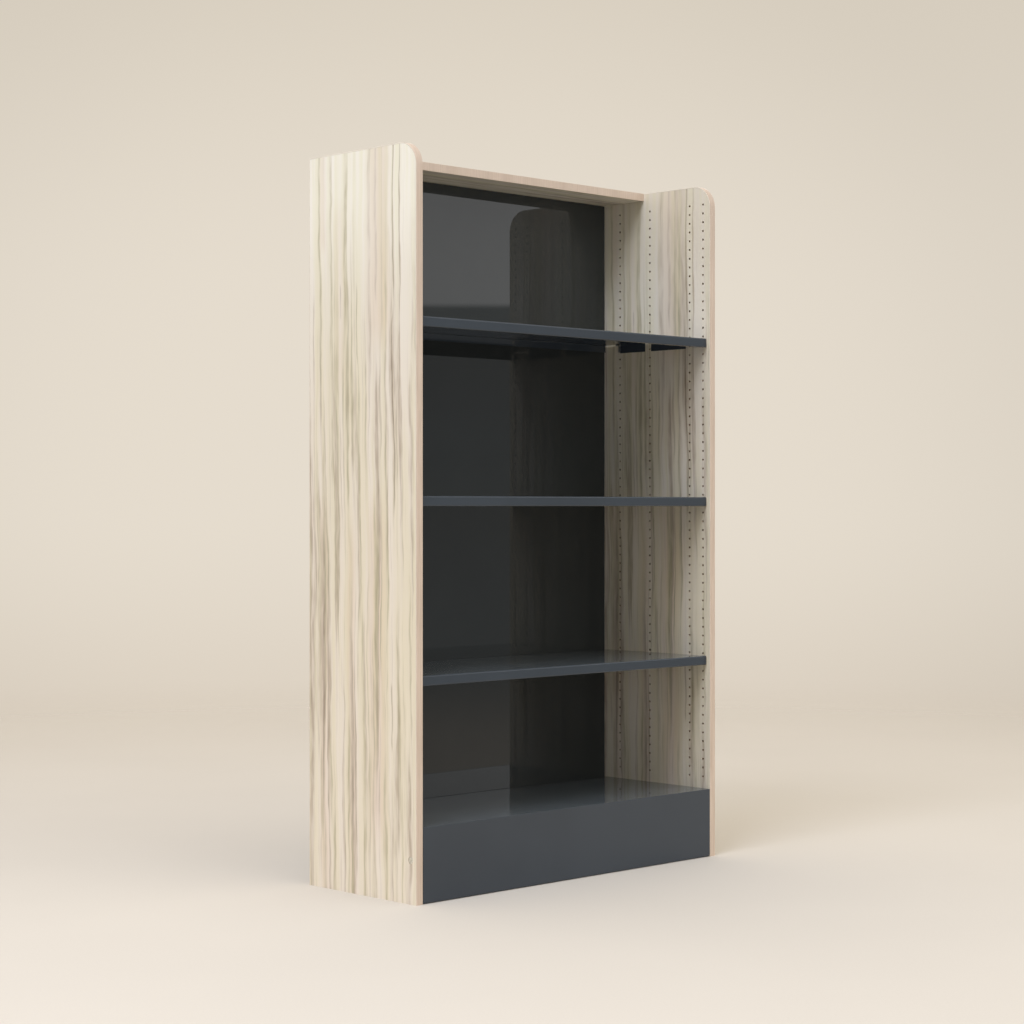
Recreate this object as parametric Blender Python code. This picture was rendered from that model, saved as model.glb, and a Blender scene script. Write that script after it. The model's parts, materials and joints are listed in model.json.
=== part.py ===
"""Single-sided library shelving bay.

Two drilled end panels carry a shallow top, a folded steel back, a steel base deck with its
kick plate, and three adjustable steel shelves that lift off their clips. The bay faces -Y, +X is
to its right and +Z is up. The origin is on the floor, in the middle of the footprint.
"""

import math

import bmesh
import bpy
from mathutils import Vector

# Overall size, in metres
WIDTH = 0.905
DEPTH = 0.338
HEIGHT = 1.5225

# Boards: a 16 mm core with a laminate on both faces, and plastic edge bands
BOARD = 0.0174
BAND = 0.002
REAR_BAND = 0.001
GLUE_LINE = 0.0002
CORNER_RADIUS = 0.050
CORNER_STEPS = 10
TOP_SETBACK = 0.2035

# Shelf pin holes in the inner faces of the end panels, columns measured from the front edge
PIN_COLUMNS = (0.0213, 0.0614, 0.1845, 0.2796)
PIN_TOP = 1.4795
PIN_PITCH = 0.020
PIN_ROWS = 66
PIN_RADIUS = 0.0025
PIN_DEPTH = 0.011
PIN_SIDES = 4

# Folded sheet steel
SHEET = 0.0012
BEND = 0.0026
BEND_STEPS = 3

# Adjustable shelves: end tabs measured from the front edge of the panels
SHELF_SETBACK = 0.0095
SHELF_FLANGE = 0.0206
SHELF_REAR_FLANGE = 0.0166
SHELF_HEM = 0.012
HEM_RELIEF = 0.020
SHELF_TABS = ((0.071, 0.178), (0.197, 0.276))
SHELF_END_GAP = 0.002
BACK_GAP = 0.002
SHELF_ROWS = {"upper": 16, "middle": 34, "lower": 52}

# Shelf clips: the shelf top stands this far above the pin hole
SEAT_HEIGHT = 0.015
CLIP_COLUMNS = {"front": PIN_COLUMNS[0], "rear": PIN_COLUMNS[3]}
CLIP_WIDTH = 0.0064
CLIP_REACH = 0.0125
CLIP_DROP = 0.0035
CLIP_METAL = 0.0022
CLIP_BEND = 0.003
CLIP_BEND_STEPS = 2
CLIP_SPIGOT = 0.0095

# Back panel, a shallow tray that opens to the rear
BACK_SETBACK = 0.3275
BACK_BOTTOM = 0.030
BACK_LIP = 0.0005
BACK_CORNER_SLIT = 0.004
BACK_SCREW_SETBACK = 0.3331
BACK_SCREW_HEIGHTS = {"lower": 0.170, "middle": 0.770, "upper": 1.370}

# Base deck and kick plate
KICK_HEIGHT = 0.153
KICK_LIFT = 0.001
KICK_RETURN = 0.018
KICK_EAR = 0.032
KICK_EAR_SPAN = (0.020, 0.118)
DECK_FLANGE = 0.030
DECK_REAR_FLANGE = 0.020
DECK_BACK_GAP = 0.0005
DECK_TAB = (0.015, 0.310)
DECK_SCREW_DROP = 0.018
DECK_SCREW_SETBACKS = {"front": 0.060, "rear": 0.270}
FIXED_END_GAP = 0.001

# Bolts that hold the kick plate through the end panels
KICK_BOLT_SETBACK = 0.017
KICK_BOLT_HEIGHT = 0.088
BOLT_SHANK = 0.0028
BOLT_HOLE = 0.0032
BOLT_HEAD = 0.007
BOLT_HEAD_HEIGHT = 0.0018
BOLT_LENGTH = 0.0247
COUNTERBORE = 0.0076
COUNTERBORE_DEPTH = 0.0022
NUT_RADIUS = 0.0055
NUT_HEIGHT = 0.005

# Pan-head screws
SCREW_SHANK = 0.0014
SCREW_HEAD = 0.0035
SCREW_CROWN = 0.0025
SCREW_HEAD_HEIGHT = 0.0024
SCREW_LENGTH = 0.014
SCREW_POINT = 0.003
SCREW_HOLE = 0.0024
PILOT_RADIUS = 0.002
PILOT_DEPTH = 0.014

# Cam fittings that join the top to the end panels
CAM_SETBACKS = {"front": 0.2405, "rear": 0.301}
CAM_INSET = 0.034
CAM_RADIUS = 0.0072
CAM_HEIGHT = 0.0124
CAM_BORE = 0.0076
CAM_BORE_DEPTH = 0.013
CAM_CHANNEL = 0.0045
CAM_PAST_CENTRE = 0.003
CAM_SLOT = (0.010, 0.0014, 0.0016)
DOWEL_BORE = 0.0042
DOWEL_HOLE = 0.0027
DOWEL_HOLE_DEPTH = 0.011
DOWEL_THREAD = (0.0022, 0.0105)
DOWEL_BODY = (0.0034, 0.024)
DOWEL_NECK = (0.0020, 0.0315)
DOWEL_HEAD = (0.0032, 0.0350)

# Levelling feet on brackets behind the kick plate
FOOT_SETBACKS = {"front": 0.060, "rear": 0.290}
FOOT_INSET = 0.025
FOOT_PAD = 0.018
FOOT_PAD_EDGE = 0.005
FOOT_COLLAR = (0.0085, 0.007, 0.014)
FOOT_STEM = 0.004
FOOT_TOP = 0.075
BRACKET_WIDTH = 0.040
BRACKET_REACH = 0.045
BRACKET_SPAN = (0.032, 0.080)
BRACKET_METAL = 0.0025
BRACKET_BEND = 0.004
BOSS_RADIUS = 0.008
BOSS_HEIGHT = 0.008
STEM_HOLE = 0.0046

# Clearances and facets
GAP = 0.0003
OVERSHOOT = 0.001
WELD = 0.000001
SMALL_SIDES = 6
HOLE_SIDES = 8
ROUND_SIDES = 12
SMOOTH_ANGLE = math.radians(50)

# Derived places
FRONT = -DEPTH / 2
REAR = DEPTH / 2
INNER = WIDTH / 2 - BOARD
FIXED_HALF = INNER - FIXED_END_GAP
BACK_FACE = FRONT + BACK_SETBACK
TOP_MIDDLE = HEIGHT - BOARD / 2
SIDES = {"left": -1, "right": 1}
AXES = {"X": Vector((1, 0, 0)), "Y": Vector((0, 1, 0)), "Z": Vector((0, 0, 1))}


def clear_scene():
    for old in list(bpy.data.objects):
        bpy.data.objects.remove(old, do_unlink=True)


def make_material(name, colour, roughness, metallic):
    material = bpy.data.materials.new(name)
    material.use_nodes = True
    shader = material.node_tree.nodes["Principled BSDF"]
    shader.inputs["Base Color"].default_value = (*colour, 1.0)
    shader.inputs["Roughness"].default_value = roughness
    shader.inputs["Metallic"].default_value = metallic
    return material


# Outlines

def circle(u, v, radius, sides):
    """A regular outline with one corner straight up, so that it mirrors onto itself."""
    angles = [math.pi / 2 + 2 * math.pi * i / sides for i in range(sides)]
    return [(u + radius * math.cos(a), v + radius * math.sin(a)) for a in angles]


def rectangle(u_span, v_span):
    (u0, u1), (v0, v1) = u_span, v_span
    return [(u0, v0), (u1, v0), (u1, v1), (u0, v1)]


def fold(path, thickness, bend, steps=BEND_STEPS):
    """Cross-section of a sheet whose outer face follows path, folded square at each corner."""
    points = [Vector(p) for p in path]
    runs = [(b - a).normalized() for a, b in zip(points, points[1:])]
    turn = 1 if runs[0].cross(runs[1]) > 0 else -1

    def inside(run):
        return Vector((-run.y, run.x)) * turn * thickness

    outer = [points[0]]
    inner = [points[0] + inside(runs[0])]
    for corner, before, after in zip(points[1:], runs, runs[1:]):
        centre = corner + (after - before) * bend
        for i in range(steps + 1):
            angle = math.pi / 2 * i / steps
            ray = before * math.sin(angle) - after * math.cos(angle)
            outer.append(centre + ray * bend)
            inner.append(centre + ray * (bend - thickness))
    outer.append(points[-1])
    inner.append(points[-1] + inside(runs[-1]))
    return outer + inner[::-1]


def panel_edge(inset, rear):
    """Up the front of an end panel, round its corner and back along its top, inset all along."""
    centre_y = FRONT + CORNER_RADIUS
    centre_z = HEIGHT - CORNER_RADIUS
    radius = CORNER_RADIUS - inset
    angles = [math.pi / 2 * i / CORNER_STEPS for i in range(CORNER_STEPS + 1)]
    arc = [(centre_y - radius * math.cos(a), centre_z + radius * math.sin(a)) for a in angles]
    return [(FRONT + inset, 0.0)] + arc + [(rear, HEIGHT - inset)]


# Solids

def prism(outline, axis, ends, bm=None):
    """Extrudes an outline along an axis: YZ outlines along X, XZ along Y and XY along Z."""
    bm = bm or bmesh.new()
    low, high = ends
    corners = {
        "X": lambda u, v: (low, u, v),
        "Y": lambda u, v: (u, low, v),
        "Z": lambda u, v: (u, v, low),
    }[axis]
    face = bm.faces.new([bm.verts.new(corners(*point)) for point in outline])
    grown = bmesh.ops.extrude_face_region(bm, geom=[face])["geom"]
    moved = [item for item in grown if isinstance(item, bmesh.types.BMVert)]
    bmesh.ops.translate(bm, vec=AXES[axis] * (high - low), verts=moved)
    return bm


def box(x_span, y_span, z_span, bm=None):
    return prism(rectangle(x_span, y_span), "Z", z_span, bm)


def turned(profile, sides):
    """A round piece about Z, from its radii and heights listed from top to bottom."""
    bm = bmesh.new()
    points = [bm.verts.new((radius, 0.0, height)) for radius, height in profile]
    edges = [bm.edges.new(pair) for pair in zip(points, points[1:])]
    bmesh.ops.spin(
        bm,
        geom=points + edges,
        cent=(0, 0, 0),
        axis=AXES["Z"],
        angle=2 * math.pi,
        steps=sides,
        use_merge=True,
    )
    bmesh.ops.remove_doubles(bm, verts=bm.verts, dist=WELD)
    return bm


def mesh_from(name, bm):
    bmesh.ops.recalc_face_normals(bm, faces=bm.faces)
    mesh = bpy.data.meshes.new(name)
    bm.to_mesh(mesh)
    bm.free()
    return mesh


def place(name, mesh, material, location=(0, 0, 0), rotation=(0, 0, 0)):
    mesh.shade_smooth()
    mesh.set_sharp_from_angle(angle=SMOOTH_ANGLE)
    if not mesh.materials:
        mesh.materials.append(material)
    part = bpy.data.objects.new(name, mesh)
    part.location = location
    part.rotation_euler = rotation
    bpy.context.collection.objects.link(part)
    return part


def combine(mesh, operation, tool):
    """The mesh with a tool shape added to it or cut from it."""
    part = bpy.data.objects.new("part", mesh)
    other = bpy.data.objects.new("tool", mesh_from("tool", tool))
    for item in (part, other):
        bpy.context.collection.objects.link(item)
    modifier = part.modifiers.new("combine", "BOOLEAN")
    modifier.operation = operation
    modifier.solver = "EXACT"
    modifier.object = other
    graph = bpy.context.evaluated_depsgraph_get()
    result = bpy.data.meshes.new_from_object(part.evaluated_get(graph))
    for item in (part, other):
        bpy.data.objects.remove(item, do_unlink=True)
    return result


# End panels and their edge bands

def panel_drillings(side):
    """Blind holes in an end panel's inner face, and the kick bolt's hole right through it."""
    face = side * INNER
    drillings = bmesh.new()

    def drill(y, z, radius, depth, sides):
        ends = (face - side * OVERSHOOT, face + side * depth)
        prism(circle(y, z, radius, sides), "X", ends, drillings)

    for column in PIN_COLUMNS:
        for row in range(PIN_ROWS):
            drill(FRONT + column, PIN_TOP - row * PIN_PITCH, PIN_RADIUS, PIN_DEPTH, PIN_SIDES)
    for setback in CAM_SETBACKS.values():
        drill(FRONT + setback, TOP_MIDDLE, DOWEL_HOLE, DOWEL_HOLE_DEPTH, HOLE_SIDES)
    for height in BACK_SCREW_HEIGHTS.values():
        drill(FRONT + BACK_SCREW_SETBACK, height, PILOT_RADIUS, PILOT_DEPTH, SMALL_SIDES)
    for setback in DECK_SCREW_SETBACKS.values():
        drill(FRONT + setback, KICK_HEIGHT - DECK_SCREW_DROP, PILOT_RADIUS, PILOT_DEPTH, SMALL_SIDES)
    drill(FRONT + KICK_BOLT_SETBACK, KICK_BOLT_HEIGHT, BOLT_HOLE, BOARD + OVERSHOOT, HOLE_SIDES)
    return drillings


def counterbore(side):
    face = side * WIDTH / 2
    outline = circle(FRONT + KICK_BOLT_SETBACK, KICK_BOLT_HEIGHT, COUNTERBORE, ROUND_SIDES)
    return prism(outline, "X", (face + side * OVERSHOOT, face - side * COUNTERBORE_DEPTH))


def end_panels(laminate, band):
    rear = REAR - REAR_BAND - GLUE_LINE
    top = HEIGHT - BAND - GLUE_LINE
    board = panel_edge(BAND + GLUE_LINE, rear) + [(rear, 0.0)]
    front_band = panel_edge(0.0, REAR) + panel_edge(BAND, REAR)[::-1]
    rear_band = rectangle((REAR - REAR_BAND, REAR), (0.0, top))
    for name, side in SIDES.items():
        ends = (side * INNER, side * WIDTH / 2)
        mesh = mesh_from(f"{name}_end_panel", prism(board, "X", ends))
        mesh = combine(mesh, "DIFFERENCE", panel_drillings(side))
        mesh = combine(mesh, "DIFFERENCE", counterbore(side))
        place(f"{name}_end_panel", mesh, laminate)
        for edge, outline in (("front", front_band), ("rear", rear_band)):
            label = f"{name}_{edge}_edge_band"
            place(label, mesh_from(label, prism(outline, "X", ends)), band)


# Top panel, its edge band and its cam fittings

def top_panel(laminate, band):
    half = INNER - GAP
    front = FRONT + TOP_SETBACK
    board = box((-half, half), (front + BAND + GLUE_LINE, REAR), (HEIGHT - BOARD, HEIGHT))
    dowel_bores = bmesh.new()
    cam_bores = bmesh.new()
    for side in SIDES.values():
        cam_x = side * (INNER - CAM_INSET)
        for setback in CAM_SETBACKS.values():
            y = FRONT + setback
            bore = circle(y, TOP_MIDDLE, DOWEL_BORE, HOLE_SIDES)
            prism(bore, "X", (cam_x, side * (INNER + OVERSHOOT)), dowel_bores)
            seat = circle(cam_x, y, CAM_BORE, ROUND_SIDES)
            prism(seat, "Z", (HEIGHT - CAM_BORE_DEPTH, HEIGHT + OVERSHOOT), cam_bores)
    mesh = combine(mesh_from("top_panel", board), "DIFFERENCE", dowel_bores)
    mesh = combine(mesh, "DIFFERENCE", cam_bores)
    place("top_panel", mesh, laminate)
    strip = box((-half, half), (front, front + BAND), (HEIGHT - BOARD, HEIGHT))
    place("top_edge_band", mesh_from("top_edge_band", strip), band)


def cam_mesh():
    """An eccentric housing: its channel opens towards +X, its driver slot is on top."""
    top = HEIGHT - GAP
    axis = TOP_MIDDLE - top
    cam = prism(circle(0.0, 0.0, CAM_RADIUS, ROUND_SIDES), "Z", (-CAM_HEIGHT, 0.0))
    channel = box(
        (-CAM_PAST_CENTRE, CAM_RADIUS + OVERSHOOT),
        (-CAM_CHANNEL, CAM_CHANNEL),
        (axis - CAM_CHANNEL, axis + CAM_CHANNEL),
    )
    length, width, depth = CAM_SLOT
    slot = box((-length / 2, length / 2), (-width / 2, width / 2), (-depth, OVERSHOOT))
    mesh = combine(mesh_from("top_cam", cam), "DIFFERENCE", channel)
    return combine(mesh, "DIFFERENCE", slot)


def dowel_mesh():
    """A cam dowel: its thread points up, into the end panel, and its head is in the cam."""
    thread, thread_top = DOWEL_THREAD
    body, body_end = DOWEL_BODY
    neck, neck_end = DOWEL_NECK
    head, head_end = DOWEL_HEAD
    profile = [
        (0.0, thread_top),
        (thread, thread_top),
        (thread, -GAP),
        (body, -GAP),
        (body, -body_end),
        (neck, -body_end),
        (neck, -neck_end),
        (head, -neck_end),
        (head, -head_end),
        (0.0, -head_end),
    ]
    return mesh_from("top_dowel", turned(profile, HOLE_SIDES))


def top_fittings(zinc):
    cam = cam_mesh()
    dowel = dowel_mesh()
    for name, side in SIDES.items():
        facing = 0.0 if side > 0 else math.pi
        for end, setback in CAM_SETBACKS.items():
            y = FRONT + setback
            cam_place = (side * (INNER - CAM_INSET), y, HEIGHT - GAP)
            place(f"top_cam_{name}_{end}", cam, zinc, cam_place, (0, 0, facing))
            dowel_place = (side * INNER, y, TOP_MIDDLE)
            place(f"top_dowel_{name}_{end}", dowel, zinc, dowel_place, (0, side * math.pi / 2, 0))


# Folded steel: back panel, base deck, kick plate and shelves

def back_panel(steel):
    rear = REAR - BACK_LIP
    top = HEIGHT - BOARD - GAP
    path = [(-FIXED_HALF, rear), (-FIXED_HALF, BACK_FACE), (FIXED_HALF, BACK_FACE), (FIXED_HALF, rear)]
    mesh = mesh_from("back_panel", prism(fold(path, SHEET, BEND), "Z", (BACK_BOTTOM, top)))
    reach = FIXED_HALF - BACK_CORNER_SLIT
    lips = bmesh.new()
    for z_span in ((BACK_BOTTOM, BACK_BOTTOM + SHEET), (top - SHEET, top)):
        box((-reach, reach), (BACK_FACE + SHEET / 2, rear), z_span, lips)
    mesh = combine(mesh, "UNION", lips)
    holes = bmesh.new()
    for height in BACK_SCREW_HEIGHTS.values():
        outline = circle(FRONT + BACK_SCREW_SETBACK, height, SCREW_HOLE, HOLE_SIDES)
        prism(outline, "X", (-INNER, INNER), holes)
    mesh = combine(mesh, "DIFFERENCE", holes)
    place("back_panel", mesh, steel)


def base_shelf(steel):
    front = FRONT + SHEET + GAP
    rear = BACK_FACE - DECK_BACK_GAP
    top = KICK_HEIGHT
    path = [(rear, top - DECK_REAR_FLANGE), (rear, top), (front, top), (front, top - DECK_FLANGE)]
    ends = (-FIXED_HALF, FIXED_HALF)
    mesh = mesh_from("base_shelf", prism(fold(path, SHEET, BEND), "X", ends))
    tabs = bmesh.new()
    y_span = [FRONT + setback for setback in DECK_TAB]
    for side in SIDES.values():
        x_span = (side * (FIXED_HALF - SHEET), side * FIXED_HALF)
        box(x_span, y_span, (top - DECK_FLANGE, top - SHEET / 2), tabs)
    mesh = combine(mesh, "UNION", tabs)
    holes = bmesh.new()
    for setback in DECK_SCREW_SETBACKS.values():
        outline = circle(FRONT + setback, top - DECK_SCREW_DROP, SCREW_HOLE, HOLE_SIDES)
        prism(outline, "X", (-INNER, INNER), holes)
    mesh = combine(mesh, "DIFFERENCE", holes)
    place("base_shelf", mesh, steel)


def kick_plate(steel):
    path = [(FRONT + KICK_RETURN, KICK_LIFT), (FRONT, KICK_LIFT), (FRONT, KICK_HEIGHT)]
    ends = (-FIXED_HALF, FIXED_HALF)
    mesh = mesh_from("kick_plate", prism(fold(path, SHEET, BEND), "X", ends))
    ears = bmesh.new()
    for side in SIDES.values():
        x_span = (side * (FIXED_HALF - SHEET), side * FIXED_HALF)
        box(x_span, (FRONT + SHEET / 2, FRONT + KICK_EAR), KICK_EAR_SPAN, ears)
    mesh = combine(mesh, "UNION", ears)
    outline = circle(FRONT + KICK_BOLT_SETBACK, KICK_BOLT_HEIGHT, BOLT_HOLE, HOLE_SIDES)
    mesh = combine(mesh, "DIFFERENCE", prism(outline, "X", (-INNER, INNER)))
    place("kick_plate", mesh, steel)


def shelf_mesh():
    """A pan shelf with its top at Z = 0: a hemmed front, and end tabs between the pin columns."""
    half = INNER - SHELF_END_GAP
    front = FRONT + SHELF_SETBACK
    rear = BACK_FACE - BACK_GAP
    path = [
        (rear, -SHELF_REAR_FLANGE),
        (rear, 0.0),
        (front, 0.0),
        (front, -SHELF_FLANGE),
        (front + SHELF_HEM, -SHELF_FLANGE),
    ]
    mesh = mesh_from("shelf", prism(fold(path, SHEET, BEND), "X", (-half, half)))
    tabs = bmesh.new()
    reliefs = bmesh.new()
    for side in SIDES.values():
        for near, far in SHELF_TABS:
            x_span = (side * (half - SHEET), side * half)
            box(x_span, (FRONT + near, FRONT + far), (-SHELF_FLANGE, -SHEET / 2), tabs)
        box(
            (side * (half - HEM_RELIEF), side * (half + OVERSHOOT)),
            (front + BEND, front + SHELF_HEM + OVERSHOOT),
            (-SHELF_FLANGE - OVERSHOOT, -SHELF_FLANGE + BEND),
            reliefs,
        )
    mesh = combine(mesh, "UNION", tabs)
    return combine(mesh, "DIFFERENCE", reliefs)


def clip_mesh():
    """A shelf clip for a panel on its +X side: a spigot for the pin hole and a folded seat."""
    seat = SEAT_HEIGHT - SHEET - GAP
    path = [(-GAP, -CLIP_DROP), (-GAP, seat), (-CLIP_REACH, seat)]
    half = CLIP_WIDTH / 2
    section = fold(path, CLIP_METAL, CLIP_BEND, CLIP_BEND_STEPS)
    mesh = mesh_from("clip", prism(section, "Y", (-half, half)))
    spigot = circle(0.0, 0.0, PIN_RADIUS - GAP, PIN_SIDES)
    return combine(mesh, "UNION", prism(spigot, "X", (-GAP - CLIP_METAL / 2, CLIP_SPIGOT)))


def shelves(steel, zinc):
    shelf = shelf_mesh()
    clip = clip_mesh()
    for level, row in SHELF_ROWS.items():
        pin_height = PIN_TOP - row * PIN_PITCH
        place(f"{level}_shelf", shelf.copy(), steel, (0, 0, pin_height + SEAT_HEIGHT))
        for name, side in SIDES.items():
            facing = 0.0 if side > 0 else math.pi
            for end, column in CLIP_COLUMNS.items():
                seat = (side * INNER, FRONT + column, pin_height)
                place(f"{level}_clip_{name}_{end}", clip, zinc, seat, (0, 0, facing))


# Screws and bolts

def screw_mesh():
    """A pan-head screw pointing down, with Z = 0 under its head."""
    profile = [
        (0.0, SCREW_HEAD_HEIGHT),
        (SCREW_CROWN, SCREW_HEAD_HEIGHT),
        (SCREW_HEAD, 0.0),
        (SCREW_SHANK, 0.0),
        (SCREW_SHANK, SCREW_POINT - SCREW_LENGTH),
        (0.0, -SCREW_LENGTH),
    ]
    return mesh_from("screw", turned(profile, HOLE_SIDES))


def steel_screws(zinc):
    screw = screw_mesh()
    bearing = FIXED_HALF - SHEET - GAP
    for name, side in SIDES.items():
        rotation = (0, -side * math.pi / 2, 0)
        for level, height in BACK_SCREW_HEIGHTS.items():
            seat = (side * bearing, FRONT + BACK_SCREW_SETBACK, height)
            place(f"back_screw_{name}_{level}", screw, zinc, seat, rotation)
        for end, setback in DECK_SCREW_SETBACKS.items():
            seat = (side * bearing, FRONT + setback, KICK_HEIGHT - DECK_SCREW_DROP)
            place(f"base_screw_{name}_{end}", screw, zinc, seat, rotation)


def kick_fixings(zinc):
    bolt_profile = [
        (0.0, BOLT_HEAD_HEIGHT),
        (BOLT_HEAD, BOLT_HEAD_HEIGHT),
        (BOLT_HEAD, GAP),
        (BOLT_SHANK, GAP),
        (BOLT_SHANK, -BOLT_LENGTH),
        (0.0, -BOLT_LENGTH),
    ]
    bolt = mesh_from("kick_bolt", turned(bolt_profile, ROUND_SIDES))
    nut_body = prism(circle(0.0, 0.0, NUT_RADIUS, SMALL_SIDES), "X", (0.0, NUT_HEIGHT))
    nut_bore = circle(0.0, 0.0, BOLT_HOLE, ROUND_SIDES)
    nut_hole = prism(nut_bore, "X", (-OVERSHOOT, NUT_HEIGHT + OVERSHOOT))
    nut = combine(mesh_from("kick_nut", nut_body), "DIFFERENCE", nut_hole)
    y = FRONT + KICK_BOLT_SETBACK
    nut_face = FIXED_HALF - SHEET - GAP
    for name, side in SIDES.items():
        head_seat = (side * (WIDTH / 2 - COUNTERBORE_DEPTH), y, KICK_BOLT_HEIGHT)
        place(f"{name}_kick_bolt", bolt, zinc, head_seat, (0, side * math.pi / 2, 0))
        low = side * nut_face - (NUT_HEIGHT if side > 0 else 0.0)
        place(f"{name}_kick_nut", nut, zinc, (low, y, KICK_BOLT_HEIGHT))


# Levelling feet

def bracket_mesh():
    """An angle bracket for a panel on its +X side, with a threaded boss on its lower leg."""
    low, high = BRACKET_SPAN
    path = [(-GAP, high), (-GAP, low), (-BRACKET_REACH, low)]
    half = BRACKET_WIDTH / 2
    section = fold(path, BRACKET_METAL, BRACKET_BEND)
    mesh = mesh_from("foot_bracket", prism(section, "Y", (-half, half)))
    boss = circle(-FOOT_INSET, 0.0, BOSS_RADIUS, ROUND_SIDES)
    boss_ends = (low + BRACKET_METAL / 2, low + BRACKET_METAL + BOSS_HEIGHT)
    mesh = combine(mesh, "UNION", prism(boss, "Z", boss_ends))
    hole = circle(-FOOT_INSET, 0.0, STEM_HOLE, ROUND_SIDES)
    return combine(mesh, "DIFFERENCE", prism(hole, "Z", (0.0, high)))


def foot_mesh():
    """A levelling foot standing on Z = 0: a glide pad, a collar and a threaded stem."""
    collar, collar_low, collar_high = FOOT_COLLAR
    profile = [
        (0.0, FOOT_TOP),
        (FOOT_STEM, FOOT_TOP),
        (FOOT_STEM, collar_high),
        (collar, collar_high),
        (collar, collar_low),
        (FOOT_PAD, FOOT_PAD_EDGE),
        (FOOT_PAD, 0.0),
        (0.0, 0.0),
    ]
    return mesh_from("levelling_foot", turned(profile, ROUND_SIDES))


def levelling_feet(zinc, plastic):
    bracket = bracket_mesh()
    foot = foot_mesh()
    for name, side in SIDES.items():
        facing = 0.0 if side > 0 else math.pi
        for end, setback in FOOT_SETBACKS.items():
            y = FRONT + setback
            place(f"foot_bracket_{name}_{end}", bracket, zinc, (side * INNER, y, 0), (0, 0, facing))
            place(f"foot_{name}_{end}", foot, plastic, (side * (INNER - FOOT_INSET), y, 0))


def main():
    clear_scene()
    laminate = make_material("elm_laminate", (0.74, 0.66, 0.55), 0.45, 0.0)
    band = make_material("tan_edge_band", (0.62, 0.46, 0.33), 0.5, 0.0)
    steel = make_material("charcoal_steel", (0.055, 0.060, 0.065), 0.3, 0.0)
    gloss = make_material("gloss_charcoal_steel", (0.030, 0.032, 0.034), 0.05, 0.0)
    zinc = make_material("zinc", (0.55, 0.55, 0.53), 0.4, 1.0)
    plastic = make_material("black_plastic", (0.03, 0.03, 0.03), 0.5, 0.0)
    end_panels(laminate, band)
    top_panel(laminate, band)
    top_fittings(zinc)
    back_panel(gloss)
    base_shelf(steel)
    kick_plate(steel)
    shelves(steel, zinc)
    steel_screws(zinc)
    kick_fixings(zinc)
    levelling_feet(zinc, plastic)


main()
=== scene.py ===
"""Looks of the single-sided library shelving bay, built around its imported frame.

The end panels get their round pin holes and eased edge bands, the fixings get their drives and
threads, and every other node is copied with softened edges. All finishes are procedural.
"""

import json
import math

import bmesh
import bpy
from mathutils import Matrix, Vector


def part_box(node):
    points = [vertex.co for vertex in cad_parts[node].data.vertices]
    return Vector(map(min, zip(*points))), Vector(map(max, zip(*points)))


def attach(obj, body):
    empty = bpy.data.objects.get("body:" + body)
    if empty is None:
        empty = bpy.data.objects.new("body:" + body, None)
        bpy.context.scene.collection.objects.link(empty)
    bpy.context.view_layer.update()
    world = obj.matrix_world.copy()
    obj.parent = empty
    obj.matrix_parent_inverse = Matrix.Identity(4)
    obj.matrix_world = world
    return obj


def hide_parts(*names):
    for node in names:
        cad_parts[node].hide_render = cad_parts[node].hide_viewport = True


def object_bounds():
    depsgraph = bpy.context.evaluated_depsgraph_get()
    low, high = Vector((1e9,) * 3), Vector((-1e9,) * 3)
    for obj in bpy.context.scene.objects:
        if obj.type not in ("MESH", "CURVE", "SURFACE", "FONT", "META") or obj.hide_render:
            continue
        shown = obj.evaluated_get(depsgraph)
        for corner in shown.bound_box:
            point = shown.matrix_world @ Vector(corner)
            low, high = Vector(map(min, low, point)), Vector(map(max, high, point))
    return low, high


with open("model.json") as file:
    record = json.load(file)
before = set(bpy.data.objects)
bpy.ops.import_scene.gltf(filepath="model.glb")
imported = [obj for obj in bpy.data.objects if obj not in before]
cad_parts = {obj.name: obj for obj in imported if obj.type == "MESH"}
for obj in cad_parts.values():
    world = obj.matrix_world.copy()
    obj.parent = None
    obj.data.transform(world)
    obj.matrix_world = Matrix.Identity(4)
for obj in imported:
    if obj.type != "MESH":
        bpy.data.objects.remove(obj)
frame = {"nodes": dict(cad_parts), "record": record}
CAD_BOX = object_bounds()

# Camera of the photograph, in metres and degrees
CAMERA_PLACE = (-3.34829, -3.44451, 0.79468)
CAMERA_YAW = 43.97
CAMERA_LENS = 77.31
CAMERA_SHIFT_Y = -0.00604

# End panels: the shelf pin holes and the bolt hole, measured from the front edge and the floor
CORNER_RADIUS = 0.050
CORNER_STEPS = 24
BAND = 0.002
BAND_EASE = 0.0007
PIN_COLUMNS = (0.0213, 0.0614, 0.1845, 0.2796)
PIN_TOP = 1.4795
PIN_PITCH = 0.020
PIN_ROWS = 66
PIN_RADIUS = 0.0025
PIN_EASE = 0.00015
PIN_DEPTH = 0.011
PIN_TIP = 0.0012
PIN_SIDES = 16
COUNTERBORE_RADIUS = 0.0072
COUNTERBORE_DEPTH = 0.0022
ROUND_SIDES = 40
FACING = 0.0003

# Softened edges of the copied nodes
EDGE_EASE = 0.0003
EDGE_ANGLE = math.radians(35)
WELD = 0.00001

# Fixings
BOLT_HEAD = (0.0070, 0.0018)
BOLT_SOCKET = (0.0021, 0.0011)
SCREW_HEAD = (0.0035, 0.0024)
SCREW_SHANK = (0.0014, 0.0140)
SCREW_THREADS = 9
CROSS = (0.0034, 0.0009, 0.0012)
CAM_CROSS = (0.0086, 0.0016, 0.0016)

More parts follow.
